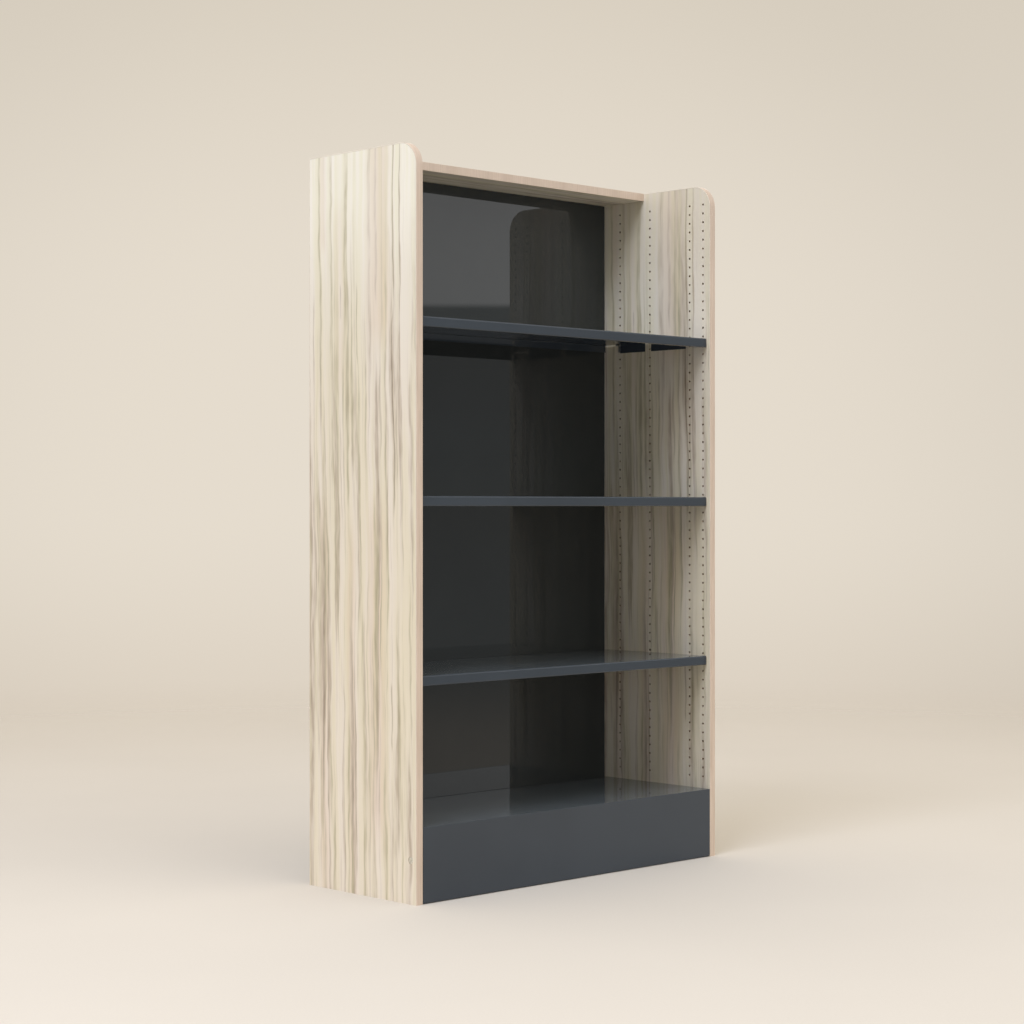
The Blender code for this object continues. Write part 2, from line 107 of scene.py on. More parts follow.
# Levelling feet: the pad's rim is given by inset and height, the collar by radius, lower and upper end
FOOT_PAD = 0.018
FOOT_RIM = ((0.0020, 0.0052), (0.0006, 0.0044), (0.0, 0.0030), (0.0, 0.0008), (0.0008, 0.0))
FOOT_COLLAR = (0.0085, 0.0075, 0.0140)
FOOT_COLLAR_EASE = 0.0005
FOOT_STEM = 0.004
FOOT_THREAD = 0.0005
FOOT_PITCH = 0.00175
FOOT_THREAD_END = 0.018

# Floor: its radius, and the distances between which it fades
FLOOR_RADIUS = 9.0
FLOOR_FADE = (1.6, 5.5)

# Colours, as linear light
# The chalk colour pales the left board's top: painted top light.
TOP_LIGHT_CHALK = (0.98, 0.94, 0.81)
CREAM = (0.897, 0.850, 0.722)
# The driftwood colour darkens the right board's top: painted shade.
TOP_SHADE_DRIFTWOOD = (0.79, 0.725, 0.60)
SAND = (0.81, 0.69, 0.54)
# Blush is the rosier colour of the boards' low part: painted bounce light from the floor.
BOUNCE_BLUSH = (0.825, 0.700, 0.585)
OAT = (0.550, 0.463, 0.356)
OLIVE = (0.545, 0.478, 0.345)
ROSE_TINT = (1.005, 0.99, 1.015)
MOSS_TINT = (0.990, 1.002, 0.950)
BARK = (0.34, 0.27, 0.20)
CORE = (0.30, 0.21, 0.13)
CORE_CHIPS = (0.44, 0.33, 0.21)
BAND_TAN = (0.72, 0.585, 0.48)
BAND_DARK = (0.59, 0.465, 0.37)
BAND_FACE = (0.84, 0.77, 0.64)
CHARCOAL = (0.043, 0.053, 0.067)
GRAPHITE = (0.034, 0.038, 0.039)
# The dust-grey lightens the steel's up-facing faces: painted top light.
TOP_LIGHT_DUST = (0.205, 0.235, 0.25)
ZINC = (0.55, 0.55, 0.53)
NICKEL = (0.76, 0.72, 0.63)
BLACK = (0.022, 0.022, 0.023)
FLOOR = (0.648, 0.611, 0.567)
BACKDROP = (0.785, 0.715, 0.615)
# The low, high and edge backdrop values are painted shade: at the floor's sweep, towards the top and
# towards the sides.
BACKDROP_FLOOR_SHADE = (0.705, 0.625, 0.525)
BACKDROP_TOP_SHADE = (0.73, 0.66, 0.555)
BACKDROP_SIDE_SHADE = 0.91
BACKDROP_TURN = 2.0
ROOM = (0.195, 0.195, 0.195)
CEILING = (1.13, 1.015, 0.83)
MIRRORED_LOW = (0.49, 0.505, 0.50)
MIRRORED_HIGH = (1.95, 1.95, 1.95)
MIRRORED_EDGE = 5.2
MIRRORED_TOP = (22, 34)

# Figure of the laminate: dark streaks and sandy washes, each by its place from the front edge, half-width,
# strength, and upper and lower end
STREAKS = (
    (0.322, 0.0030, 0.50, 1.30, 0.55),
    (0.300, 0.0050, 0.48, 1.64, 0.85),
    (0.263, 0.0070, 0.40, 1.60, 0.78),
    (0.216, 0.0090, 0.52, 1.66, 1.15),
    (0.211, 0.0050, 0.40, 1.26, 0.75),
    (0.233, 0.0024, 0.45, 1.26, 1.17),
    (0.181, 0.0030, 0.42, 1.26, 1.07),
    (0.122, 0.0060, 0.30, 1.60, 1.18),
    (0.104, 0.0040, 0.22, 1.60, 1.10),
    (0.141, 0.0070, 0.46, 1.66, 0.98),
    (0.068, 0.0034, 0.62, 1.58, 1.19),
    (0.070, 0.0030, 0.62, 1.21, 0.76),
    (0.047, 0.0032, 0.50, 1.60, 1.03),
    (0.047, 0.0100, 0.34, 1.07, 0.88),
    (0.296, 0.0080, 0.30, 0.86, -0.10),
    (0.282, 0.0034, 0.45, 0.82, -0.10),
    (0.207, 0.0080, 0.34, 0.82, -0.10),
    (0.195, 0.0030, 0.42, 0.66, 0.08),
    (0.178, 0.0090, -0.40, 0.60, 0.02),
    (0.127, 0.0120, 0.28, 0.86, 0.10),
    (0.091, 0.0032, 0.55, 0.87, 0.50),
    (0.081, 0.0030, 0.50, 0.45, 0.29),
    (0.060, 0.0110, 0.30, 0.62, 0.08),
)
RIGHT_STREAKS_AND_LIT_LOW = STREAKS + (
    (0.092, 0.0380, 0.40, 1.70, 1.12),
    (0.148, 0.0090, 0.34, 1.60, 1.15),
    (0.246, 0.0090, 0.18, 1.60, 1.15),
    # The broad row with a negative strength pales the board's low part: painted bounce light from the
    # floor.
    (0.160, 0.1000, -0.16, 0.46, 0.05),
)
WASHES = (
    (0.112, 0.0520, 0.55, 1.64, 1.08),
    (0.289, 0.0150, 0.40, 1.60, 1.30),
    (0.235, 0.0250, 0.25, 1.45, 1.00),
    (0.296, 0.0220, 0.40, 0.86, -0.10),
    (0.207, 0.0200, 0.40, 0.82, -0.10),
    (0.127, 0.0420, 0.45, 0.86, 0.05),
)
STREAK_LEAN = 0.012

# Soft lamps: place, target, width and height, power and colour
SOFTBOXES = {
    "side_softbox": ((-4.3, -1.4, 6.0), (-0.2, 0.0, 0.6), (3.3, 3.3), 281.0, (0.77, 0.84, 1.0)),
    "high_front_softbox": ((0.45, -4.8, 4.8), (0.0, 0.0, 0.6), (3.6, 3.0), 46.0, (0.97, 1.0, 0.97)),
    "right_front_softbox": ((3.6, -4.5, 2.6), (0.0, 0.0, 0.8), (3.9, 3.0), 28.0, (0.87, 0.92, 1.0)),
    "left_front_softbox": ((-4.0, -5.4, 1.4), (0.2, 0.0, 0.8), (3.3, 2.7), 26.0, (0.85, 0.93, 1.0)),
}

SLOTS = {row["node"]: row["material_slot"] for row in frame["record"]["subparts"]}
BODIES = {node: body for body, nodes in frame["record"]["behaviour"]["bodies"].items() for node in nodes}
SIDES = {"left": -1, "right": 1}
FRONT = CAD_BOX[0].y
REAR = CAD_BOX[1].y
HEIGHT = CAD_BOX[1].z
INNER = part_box("right_end_panel")[0].x


# Node graphs

class Graph:
    """A material's or world's nodes, added with their inputs named."""

    def __init__(self, tree):
        self.tree = tree

    def add(self, kind, inputs=None, **settings):
        node = self.tree.nodes.new(kind)
        for key, value in settings.items():
            setattr(node, key, value)
        for key, value in (inputs or {}).items():
            self.feed(node.inputs[key], value)
        return node

    def feed(self, socket, value):
        if isinstance(value, bpy.types.NodeSocket):
            self.tree.links.new(value, socket)
        else:
            socket.default_value = value

    def math(self, operation, a, b=0.0, c=0.0):
        return self.add("ShaderNodeMath", {0: a, 1: b, 2: c}, operation=operation).outputs[0]

    def mix(self, factor, a, b, blend="MIX"):
        node = self.add("ShaderNodeMix", data_type="RGBA", blend_type=blend)
        for index, value in ((0, factor), (6, a), (7, b)):
            self.feed(node.inputs[index], (*value, 1.0) if isinstance(value, tuple) else value)
        return node.outputs[2]

    def span(self, value, low, high, start=0.0, end=1.0):
        """Maps low..high smoothly onto start..end."""
        inputs = {"Value": value, "From Min": low, "From Max": high, "To Min": start, "To Max": end}
        return self.add("ShaderNodeMapRange", inputs, interpolation_type="SMOOTHSTEP").outputs[0]

    def noise(self, vector, scale, detail=2.0, roughness=0.5):
        inputs = {"Vector": vector, "Scale": scale, "Detail": detail, "Roughness": roughness}
        return self.add("ShaderNodeTexNoise", inputs).outputs["Fac"]

    def place(self):
        """The piece's own X, Y and Z in metres."""
        coords = self.add("ShaderNodeTexCoord").outputs["Object"]
        split = self.add("ShaderNodeSeparateXYZ", {0: coords})
        return coords, split.outputs

    def facing(self):
        """The X, Y and Z of the way the surface faces, in the piece's own axes."""
        normal = self.add("ShaderNodeTexCoord").outputs["Normal"]
        return self.add("ShaderNodeSeparateXYZ", {0: normal}).outputs

    def vector(self, x, y, z):
        return self.add("ShaderNodeCombineXYZ", {0: x, 1: y, 2: z}).outputs[0]

    def bump(self, height, strength, distance):
        inputs = {"Height": height, "Strength": strength, "Distance": distance}
        return self.add("ShaderNodeBump", inputs).outputs[0]


def new_material(name, **values):
    """A Principled material with constant values set on its own sockets."""
    material = bpy.data.materials.new(name)
    material.use_nodes = True
    shader = material.node_tree.nodes["Principled BSDF"]
    for key, value in values.items():
        socket = shader.inputs[key.replace("_", " ")]
        socket.default_value = (*value, 1.0) if isinstance(value, tuple) else value
    return material, Graph(material.node_tree), shader


# Finishes

def streak_group():
    """One streak or wash, added to the strength so far."""
    tree = bpy.data.node_groups.new("streak", "ShaderNodeTree")
    for name in ("So far", "Depth", "Height", "Place", "Half-width", "Strength", "Middle", "Half-length"):
        tree.interface.new_socket(name, in_out="INPUT", socket_type="NodeSocketFloat")
    tree.interface.new_socket("Strength", in_out="OUTPUT", socket_type="NodeSocketFloat")
    graph = Graph(tree)
    given = graph.add("NodeGroupInput").outputs
    aside = graph.math("ABSOLUTE", graph.math("SUBTRACT", given["Depth"], given["Place"]))
    across = graph.span(graph.math("DIVIDE", aside, given["Half-width"]), 0.2, 1.0, 1.0, 0.0)
    away = graph.math("ABSOLUTE", graph.math("SUBTRACT", given["Height"], given["Middle"]))
    along = graph.span(graph.math("DIVIDE", away, given["Half-length"]), 0.65, 1.0, 1.0, 0.0)
    share = graph.math("MULTIPLY", across, along)
    total = graph.math("MULTIPLY_ADD", share, given["Strength"], given["So far"])
    graph.add("NodeGroupOutput", {"Strength": total})
    return tree


def laminate(name, along, across_board, streaks=(), painted_top=CREAM):
    """A pale elm laminate whose bands, threads and fibres run along one axis.

    A board with streaks also gets the washes, a quieter and paler top that turns to the given top colour
    (painted top light; on the right board a darker top, painted shade) and a lighter, rosier low part
    (painted bounce light from the floor). Between its two faces, as in the drilled holes, the board shows
    its chipboard core.
    """
    material, graph, shader = new_material(name, IOR=1.45)
    _, axes = graph.place()
    length = axes["XYZ".index(along)]
    across = graph.math("SUBTRACT", axes[1], FRONT)
    sway = graph.noise(graph.vector(length, 0.0, 0.0), 2.3, 1.0)
    ripple = graph.noise(graph.vector(length, graph.math("MULTIPLY", across, 3.0), 4.0), 5.0, 2.0)
    tremor = graph.noise(graph.vector(length, graph.math("MULTIPLY", across, 2.0), 8.0), 15.0, 2.0)
    lean = graph.math("MULTIPLY", graph.math("SUBTRACT", length, 1.0), -STREAK_LEAN)
    shift = graph.math("MULTIPLY_ADD", graph.math("SUBTRACT", sway, 0.5), 0.010, lean)
    shift = graph.math("MULTIPLY_ADD", graph.math("SUBTRACT", ripple, 0.5), 0.014, shift)
    shift = graph.math("MULTIPLY_ADD", graph.math("SUBTRACT", tremor, 0.5), 0.006, shift)
    depth = graph.math("ADD", across, shift)

    def drawn(rows):
        total = 0.0
        for place, width, strength, top, bottom in rows:
            node = graph.add("ShaderNodeGroup", node_tree=STREAK)
            middle, half = (top + bottom) / 2, (top - bottom) / 2
            values = (total, depth, length, place, width, strength, middle, half)
            for socket, value in zip(node.inputs, values):
                graph.feed(socket, value)
            total = node.outputs[0]
        return total

    figure = drawn(streaks)
    wash = drawn(WASHES) if streaks else 0.0

    def grain(stretch, seed, scale, detail, rough=0.5):
        point = graph.vector(graph.math("MULTIPLY", length, stretch), depth, seed)
        return graph.noise(point, scale, detail, rough)

    fade = grain(0.12, 5.0, 26.0, 2.0)
    flecks = grain(0.11, 9.0, 130.0, 2.0)
    hue = grain(0.03, 11.0, 44.0, 2.0)
    bands = grain(0.026, 0.0, 46.0, 2.0, 0.55)
    threads = grain(0.018, 3.0, 120.0, 2.0)
    fibres = grain(0.018, 7.0, 330.0, 2.0)
    figure_and_painted_light, floor_bounce, pale = 1.1, 0.0, CREAM
    # Above about 1 m the figure quietens, and above 1.2 m the colour turns to the given top colour: painted
    # top light on the left board, painted shade on the right one.
    if streaks:
        # Below 0.55 m the figure thins a little and the colour turns rosier: painted bounce light from the
        # floor.
        floor_bounce = graph.span(length, 0.55, 0.12)
        figure_and_painted_light = graph.span(length, 1.46, 0.95, 0.30, 1.12)
        figure_and_painted_light = graph.math("MULTIPLY", figure_and_painted_light, graph.math("MULTIPLY_ADD", floor_bounce, -0.12, 1.0))
        pale = graph.mix(graph.span(length, 1.20, 1.44), CREAM, painted_top)

    figure = graph.math("MULTIPLY", figure, graph.span(fade, 0.30, 0.65, 0.62, 1.05))
    soft = graph.math("MULTIPLY", graph.span(bands, 0.44, 0.62), graph.math("MULTIPLY", figure_and_painted_light, 0.41))
    thin = graph.math("MULTIPLY", graph.span(threads, 0.46, 0.68), graph.math("MULTIPLY", figure_and_painted_light, 0.25))
    fine = graph.math("MULTIPLY_ADD", figure_and_painted_light, 0.07, 0.04)
    fine = graph.math("MULTIPLY", graph.span(fibres, 0.38, 0.70), fine)
    tone = graph.math("ADD", graph.math("ADD", figure, soft), graph.math("ADD", thin, fine))
    tone = graph.math("MULTIPLY", tone, graph.span(flecks, 0.30, 0.70, 0.70, 1.26))
    warmth = graph.math("MULTIPLY_ADD", figure_and_painted_light, 0.42, graph.span(hue, 0.30, 0.70, -0.15, 0.20))
    warmth = graph.math("ADD", warmth, wash)
    colour = graph.mix(warmth, pale, graph.mix(floor_bounce, SAND, BOUNCE_BLUSH))
    brown = graph.mix(graph.span(hue, 0.40, 0.60), OAT, OLIVE)
    colour = graph.mix(graph.span(tone, 0.05, 0.80), colour, brown)
    colour = graph.mix(graph.span(tone, 0.65, 1.40), colour, BARK)
    tint = graph.mix(graph.span(hue, 0.34, 0.66), ROSE_TINT, MOSS_TINT)
    colour = graph.mix(1.0, colour, tint, "MULTIPLY")

    axis, low, high = across_board
    through = graph.math("ABSOLUTE", axes["XYZ".index(axis)])
    depths = graph.math("SUBTRACT", through, low), graph.math("SUBTRACT", high, through)
    inside = graph.math("MINIMUM", *depths)
    chips = graph.noise(graph.vector(*axes), 450.0, 3.0)
    core = graph.mix(graph.span(chips, 0.35, 0.65), CORE, CORE_CHIPS)
    colour = graph.mix(graph.math("GREATER_THAN", inside, FACING), colour, core)
    graph.feed(shader.inputs["Base Color"], colour)
    graph.feed(shader.inputs["Roughness"], graph.span(fibres, 0.3, 0.7, 0.42, 0.52))
    relief = graph.math("MULTIPLY_ADD", tone, -0.5, fibres)
    graph.feed(shader.inputs["Normal"], graph.bump(relief, 0.12, 0.0002))
    return material


def edge_band():
    """A tan plastic band with a faint printed grain; its narrow sides show the boards' laminate."""
    material, graph, shader = new_material("tan_edge_band", IOR=1.45)
    _, (x, y, z) = graph.place()
    run = graph.math("ADD", y, z)
    grain = graph.noise(graph.vector(x, graph.math("MULTIPLY", run, 0.02), 0.0), 420.0, 2.0)
    cloud = graph.noise(graph.vector(x, graph.math("MULTIPLY", run, 0.2), 1.0), 30.0, 2.0)
    colour = graph.mix(graph.span(grain, 0.35, 0.75, 0.0, 0.8), BAND_TAN, BAND_DARK)
    colour = graph.mix(graph.span(cloud, 0.35, 0.70, 0.0, 0.5), colour, BAND_DARK)
    aside = graph.math("ABSOLUTE", graph.facing()[0])
    colour = graph.mix(graph.span(aside, 0.80, 0.98), colour, BAND_FACE)
    graph.feed(shader.inputs["Base Color"], colour)
    graph.feed(shader.inputs["Roughness"], graph.span(grain, 0.3, 0.7, 0.40, 0.52))
    graph.feed(shader.inputs["Normal"], graph.bump(grain, 0.08, 0.0001))
    return material


def coated_steel(name, base, rough, peel):
    """Dark gloss coat on steel: a fine orange peel, faint clouding, handling marks, and up-facing faces
    lightened towards dust-grey, which is painted top light.
    """
    material, graph, shader = new_material(name, IOR=1.40)
    coords, _ = graph.place()
    cloud = graph.noise(coords, 3.5, 3.0)
    grain = graph.noise(coords, 900.0, 1.0)
    smudge = graph.noise(coords, 11.0, 4.0, 0.6)
    lighter = tuple(1.16 * value for value in base)
    colour = graph.mix(graph.span(cloud, 0.3, 0.7), base, lighter)
    colour = graph.mix(graph.math("MULTIPLY", graph.span(grain, 0.45, 0.75), 0.25), colour, lighter)
    # Up-facing faces mix towards the dust-grey by a noisy share: painted top light in the look of a dust
    # coat.
    top_light_share = graph.span(smudge, 0.3, 0.7, 0.26, 0.38)
    lit_tops = graph.math("MULTIPLY", graph.span(graph.facing()[2], 0.80, 0.98), top_light_share)
    graph.feed(shader.inputs["Base Color"], graph.mix(lit_tops, colour, TOP_LIGHT_DUST))
    gloss = graph.span(smudge, 0.35, 0.75, rough, rough * 1.6)
    graph.feed(shader.inputs["Roughness"], gloss)
    graph.feed(shader.inputs["Normal"], graph.bump(grain, peel, 0.00005))
    return material


def plating(name, metal, rough):
    """Plated steel with dull flecks and fine scuffs."""
    material, graph, shader = new_material(name, Metallic=1.0)
    coords, _ = graph.place()
    flecks = graph.noise(coords, 260.0, 3.0)
    scuffs = graph.noise(coords, 900.0, 2.0)
    dull = tuple(0.72 * value for value in metal)
    graph.feed(shader.inputs["Base Color"], graph.mix(graph.span(flecks, 0.35, 0.7), metal, dull))
    graph.feed(shader.inputs["Roughness"], graph.span(scuffs, 0.3, 0.7, rough, rough * 1.6))
    graph.feed(shader.inputs["Normal"], graph.bump(scuffs, 0.06, 0.00005))
    return material


def moulded_plastic():
    material, graph, shader = new_material("black_plastic")
    coords, _ = graph.place()
    texture = graph.noise(coords, 1400.0, 2.0)
    worn = graph.noise(coords, 60.0, 3.0)
    grey = tuple(2.2 * value for value in BLACK)
    graph.feed(shader.inputs["Base Color"], graph.mix(graph.span(worn, 0.45, 0.8), BLACK, grey))
    graph.feed(shader.inputs["Roughness"], graph.span(texture, 0.3, 0.7, 0.45, 0.62))
    graph.feed(shader.inputs["Normal"], graph.bump(texture, 0.15, 0.0001))
    return material


STREAK = streak_group()
END_BOARDS = ("X", INNER, CAD_BOX[1].x)
TOP_BOARD = ("Z", *(corner.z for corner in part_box("top_panel")))
FINISHES = {
    "laminate": laminate("elm_laminate", "Z", END_BOARDS, STREAKS, TOP_LIGHT_CHALK),
    "edge_band": edge_band(),
    "charcoal_steel": coated_steel("charcoal_steel", CHARCOAL, 0.03, 0.01),
    "gloss_steel": coated_steel("gloss_charcoal_steel", GRAPHITE, 0.008, 0.0),
    "zinc": plating("zinc_plate", ZINC, 0.28),
    "black_plastic": moulded_plastic(),
}
NICKEL_PLATE = plating("nickel_plate", NICKEL, 0.45)
FINISHES_BY_NODE = {
    "top_panel": laminate("elm_laminate_top", "X", TOP_BOARD),
    "right_end_panel": laminate("elm_laminate_right", "Z", END_BOARDS, RIGHT_STREAKS_AND_LIT_LOW, TOP_SHADE_DRIFTWOOD),
    "left_kick_bolt": NICKEL_PLATE,
    "right_kick_bolt": NICKEL_PLATE,
}


# Meshes

def ring(bm, centre, radius, sides, plane):
    """A ring of vertices about a centre, in the plane square to the named axis."""
    turns = [2 * math.pi * i / sides for i in range(sides)]
    offsets = {
        "X": lambda a: (0.0, math.cos(a), math.sin(a)),
        "Z": lambda a: (math.cos(a), math.sin(a), 0.0),
    }[plane]
    return [bm.verts.new(Vector(centre) + radius * Vector(offsets(a))) for a in turns]


def join_rings(bm, first, second):
    """Faces between two rings of the same count. Returns the edges of the first ring."""
    count = len(first)
    for i in range(count):
        j = (i + 1) % count
        bm.faces.new((first[i], first[j], second[j], second[i]))
    return ring_edges(bm, first)


def ring_edges(bm, points):
    pairs = zip(points, points[1:] + points[:1])
    return [bm.edges.get(pair) or bm.edges.new(pair) for pair in pairs]


def blind_hole(bm, mouth, inward, radius, depth, ease, tip, sides):
    """An eased round hole along X. Returns its mouth's edges, for the face around it to use."""
    start = Vector(mouth)
    way = Vector((inward, 0.0, 0.0))
    rings = [
        ring(bm, start, radius + ease, sides, "X"),
        ring(bm, start + way * ease, radius, sides, "X"),
        ring(bm, start + way * depth, radius, sides, "X"),
    ]
    edges = join_rings(bm, rings[0], rings[1])
    join_rings(bm, rings[1], rings[2])
    bottom = bm.verts.new(start + way * (depth + tip))
    for a, b in zip(rings[2], rings[2][1:] + rings[2][:1]):
        bm.faces.new((a, b, bottom))
    return edges


def fill_face(bm, edges, normal):
    bmesh.ops.triangle_fill(bm, edges=edges, use_beauty=True, normal=normal)


def finish_mesh(name, bm):
    bmesh.ops.recalc_face_normals(bm, faces=bm.faces)
    mesh = bpy.data.meshes.new(name)
    bm.to_mesh(mesh)
    bm.free()
    mesh.shade_smooth()
    mesh.set_sharp_from_angle(angle=EDGE_ANGLE)
    return mesh


def turned(profile, sides):
    """A round piece about Z, from radii and heights listed from top to bottom."""
    bm = bmesh.new()
    points = [bm.verts.new((radius, 0.0, height)) for radius, height in profile]
    edges = [bm.edges.new(pair) for pair in zip(points, points[1:])]
    bmesh.ops.spin(
        bm,
        geom=points + edges,
        cent=(0, 0, 0),
        axis=(0, 0, 1),
        angle=2 * math.pi,
        steps=sides,
        use_merge=True,
    )
    bmesh.ops.remove_doubles(bm, verts=bm.verts, dist=WELD)
    return bm


def cut(mesh, tools):
    """The mesh with box-like tools cut from it."""
    part = bpy.data.objects.new("part", mesh)
    other = bpy.data.objects.new("tool", finish_mesh("tool", tools))
    for item in (part, other):
        bpy.context.scene.collection.objects.link(item)
    modifier = part.modifiers.new("cut", "BOOLEAN")
    modifier.operation = "DIFFERENCE"
    modifier.solver = "EXACT"
    modifier.object = other
    graph = bpy.context.evaluated_depsgraph_get()
    result = bpy.data.meshes.new_from_object(part.evaluated_get(graph))
    for item in (part, other):
        bpy.data.objects.remove(item, do_unlink=True)
    result.shade_smooth()
    result.set_sharp_from_angle(angle=EDGE_ANGLE)
    return result


def cross_tool(length, width, low, high):
    """Two crossed bars, as one closed tool."""
    half = width / 2
    reach = length / 2
    outline = [
        (reach, -half), (reach, half), (half, half), (half, reach), (-half, reach), (-half, half),
        (-reach, half), (-reach, -half), (-half, -half), (-half, -reach), (half, -reach), (half, -half),
    ]
    bm = bmesh.new()
    face = bm.faces.new([bm.verts.new((x, y, low)) for x, y in outline])
    grown = bmesh.ops.extrude_face_region(bm, geom=[face])["geom"]
    moved = [item for item in grown if isinstance(item, bmesh.types.BMVert)]
    bmesh.ops.translate(bm, vec=(0, 0, high - low), verts=moved)
    return bm


# Pieces

def centre_of(node):
    lo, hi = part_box(node)
    return (lo + hi) / 2


def add_piece(name, mesh, node, rotation=(0, 0, 0), location=(0, 0, 0)):
    """A piece that stands for a node, with its finish, on its body."""
    slot = SLOTS[node]
    mesh.materials.clear()
    mesh.materials.append(FINISHES_BY_NODE.get(node) or FINISHES[slot])
    piece = bpy.data.objects.new(name, mesh)
    piece.location = location
    piece.rotation_euler = rotation
    bpy.context.scene.collection.objects.link(piece)
    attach(piece, BODIES[node])
    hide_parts(node)
    return piece


def softened_copy(node):
    """The node's own mesh, welded, smooth over its bends and with its sharp edges eased."""
    bm = bmesh.new()
    bm.from_mesh(frame["nodes"][node].data)
    bmesh.ops.remove_doubles(bm, verts=bm.verts, dist=WELD)
    bmesh.ops.dissolve_limit(bm, angle_limit=math.radians(0.5), verts=bm.verts, edges=bm.edges)
    piece = add_piece(f"{node}_piece", finish_mesh(node, bm), node)
    ease = piece.modifiers.new("eased edges", "BEVEL")
    ease.width = EDGE_EASE
    ease.segments = 2
    ease.limit_method = "ANGLE"
    ease.angle_limit = EDGE_ANGLE
    flat = piece.modifiers.new("flat faces", "WEIGHTED_NORMAL")
    flat.keep_sharp = True
    flat.weight = 100
    return piece


def panel_outline(lo, hi):
    """The board's edge in Y and Z: up the front, round the corner, along the top and down the rear."""
    radius = CORNER_RADIUS - (lo.y - FRONT)
    centre = (lo.y + radius, hi.z - radius)
    turns = [math.pi / 2 * i / CORNER_STEPS for i in range(CORNER_STEPS + 1)]
    arc = [(centre[0] - radius * math.cos(a), centre[1] + radius * math.sin(a)) for a in turns]
    return [(lo.y, lo.z)] + arc + [(hi.y, hi.z), (hi.y, lo.z)]


def end_panel(name, side):
    node = f"{name}_end_panel"
    lo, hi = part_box(node)
    inner, outer = (hi.x, lo.x) if side < 0 else (lo.x, hi.x)
    outline = panel_outline(lo, hi)
    bm = bmesh.new()
    inner_ring = [bm.verts.new((inner, y, z)) for y, z in outline]
    outer_ring = [bm.verts.new((outer, y, z)) for y, z in outline]
    inner_edges = join_rings(bm, inner_ring, outer_ring)
    outer_edges = ring_edges(bm, outer_ring)
    for column in PIN_COLUMNS:
        for row in range(PIN_ROWS):
            mouth = (inner, FRONT + column, PIN_TOP - row * PIN_PITCH)
            inner_edges += blind_hole(bm, mouth, side, PIN_RADIUS, PIN_DEPTH, PIN_EASE, PIN_TIP, PIN_SIDES)
    bolt = centre_of(f"{name}_kick_bolt")
    mouth = (outer, bolt.y, bolt.z)
    outer_edges += blind_hole(
        bm, mouth, -side, COUNTERBORE_RADIUS, COUNTERBORE_DEPTH, PIN_EASE, 0.0, ROUND_SIDES
    )
    fill_face(bm, inner_edges, (-side, 0, 0))
    fill_face(bm, outer_edges, (side, 0, 0))
    add_piece(f"{name}_drilled_panel", finish_mesh(node, bm), node)


def front_band(name):
    """The band's eased section, swept up the front, round the corner and back along the top."""
    node = f"{name}_front_edge_band"
    lo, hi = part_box(node)
    quarter = [math.pi / 2 * i / 4 for i in range(5)]
    rise = [BAND - BAND_EASE + BAND_EASE * math.sin(a) for a in quarter]
    run = [BAND_EASE - BAND_EASE * math.cos(a) for a in quarter]
    section = [(lo.x, 0.0)] + [(lo.x + x, d) for x, d in zip(run, rise)]
    section += [(hi.x - x, d) for x, d in zip(run[::-1], rise[::-1])] + [(hi.x, 0.0)]
    radius = CORNER_RADIUS - BAND
    centre = (FRONT + CORNER_RADIUS, HEIGHT - CORNER_RADIUS)
    stations = [((FRONT + BAND, 0.0), (-1.0, 0.0))]
    for i in range(CORNER_STEPS + 1):
        angle = math.pi / 2 * i / CORNER_STEPS
        out = (-math.cos(angle), math.sin(angle))
        stations.append(((centre[0] + radius * out[0], centre[1] + radius * out[1]), out))
    stations.append(((hi.y, HEIGHT - BAND), (0.0, 1.0)))
    bm = bmesh.new()
    rings = []
    for (y, z), (out_y, out_z) in stations:
        rings.append([bm.verts.new((x, y + out_y * d, z + out_z * d)) for x, d in section])
    for first, second in zip(rings, rings[1:]):
        join_rings(bm, first, second)
    bm.faces.new(rings[0])
    bm.faces.new(rings[-1])
    add_piece(f"{name}_front_band", finish_mesh(node, bm), node)


def kick_bolts():
    radius, height = BOLT_HEAD
    socket, depth = BOLT_SOCKET
    for name, side in SIDES.items():
        node = f"{name}_kick_bolt"
        lo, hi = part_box(node)
        length = hi.x - lo.x
        shank = 0.4 * radius
        ease = 0.3 * height
        profile = [
            (0.0, 0.0), (radius - 2 * ease, 0.0), (radius - 0.6 * ease, -0.3 * ease), (radius, -ease),
            (radius, -height), (shank, -height), (shank, -length), (0.0, -length),
        ]
        mesh = finish_mesh(node, turned(profile, ROUND_SIDES))
        tool = bmesh.new()
        bmesh.ops.create_cone(
            tool, cap_ends=True, segments=6, radius1=socket, radius2=socket, depth=2 * depth
        )
        mesh = cut(mesh, tool)
        head = hi.x if side > 0 else lo.x
        place = (head, centre_of(node).y, centre_of(node).z)
        add_piece(f"{name}_socket_bolt", mesh, node, (0, side * math.pi / 2, 0), place)


def screw_mesh():
    """A pan-head screw with a cross recess and a threaded shank, pointing down from Z = 0."""
    radius, height = SCREW_HEAD
    shank, length = SCREW_SHANK
    dome = [(radius * math.sin(a), height * math.cos(a) ** 0.7) for a in (0.0, 0.45, 0.8, 1.1, 1.35)]
    profile = dome + [(radius, 0.0), (shank, 0.0)]
    pitch = 0.75 * length / SCREW_THREADS
    for i in range(SCREW_THREADS):
        top = -pitch * (i + 0.3)
        profile += [(0.85 * shank, top), (1.2 * shank, top - 0.5 * pitch)]
    profile += [(0.8 * shank, -0.8 * length), (0.0, -length)]
    mesh = finish_mesh("cross_screw", turned(profile, 24))
    long, wide, deep = CROSS
    return cut(mesh, cross_tool(long, wide, height - deep, 2 * height))


